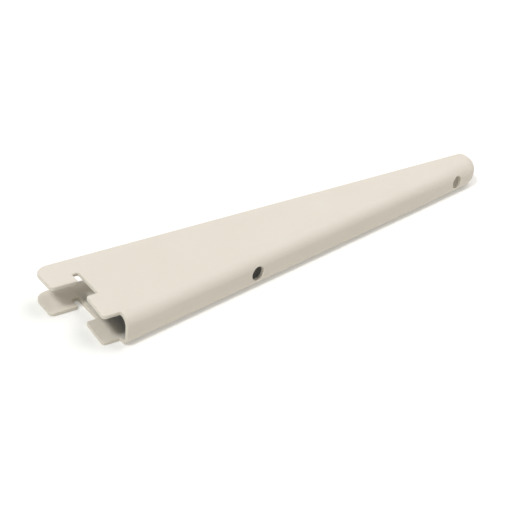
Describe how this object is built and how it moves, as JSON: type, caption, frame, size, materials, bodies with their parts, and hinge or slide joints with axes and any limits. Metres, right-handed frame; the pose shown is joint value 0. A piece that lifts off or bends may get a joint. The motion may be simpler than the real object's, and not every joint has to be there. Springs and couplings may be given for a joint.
{
  "type": "slotted shelf bracket",
  "caption": "Tapered shelf bracket folded from one steel sheet into a channel, with hooks that drop into a slotted wall upright and screw holes along its sloping underside.",
  "frame": {"origin": "where the line of the shelf's underside meets the upright's front face, halfway between the two flanges", "axes": "+X along the shelf line, out from the upright to the nose; +Y towards the shelf, away from the sloping web; +Z across the channel, from one flange to the other. The bracket lies on its -Z flange, as pictured."},
  "size_m": [0.2345, 0.0477, 0.0136],
  "materials": {
    "coated_steel": "satin ivory powder coat on steel sheet, all over, the cut rims as well"
  },
  "bodies": {
    "root": {"bracket": "coated_steel"}
  },
  "joints": []
}
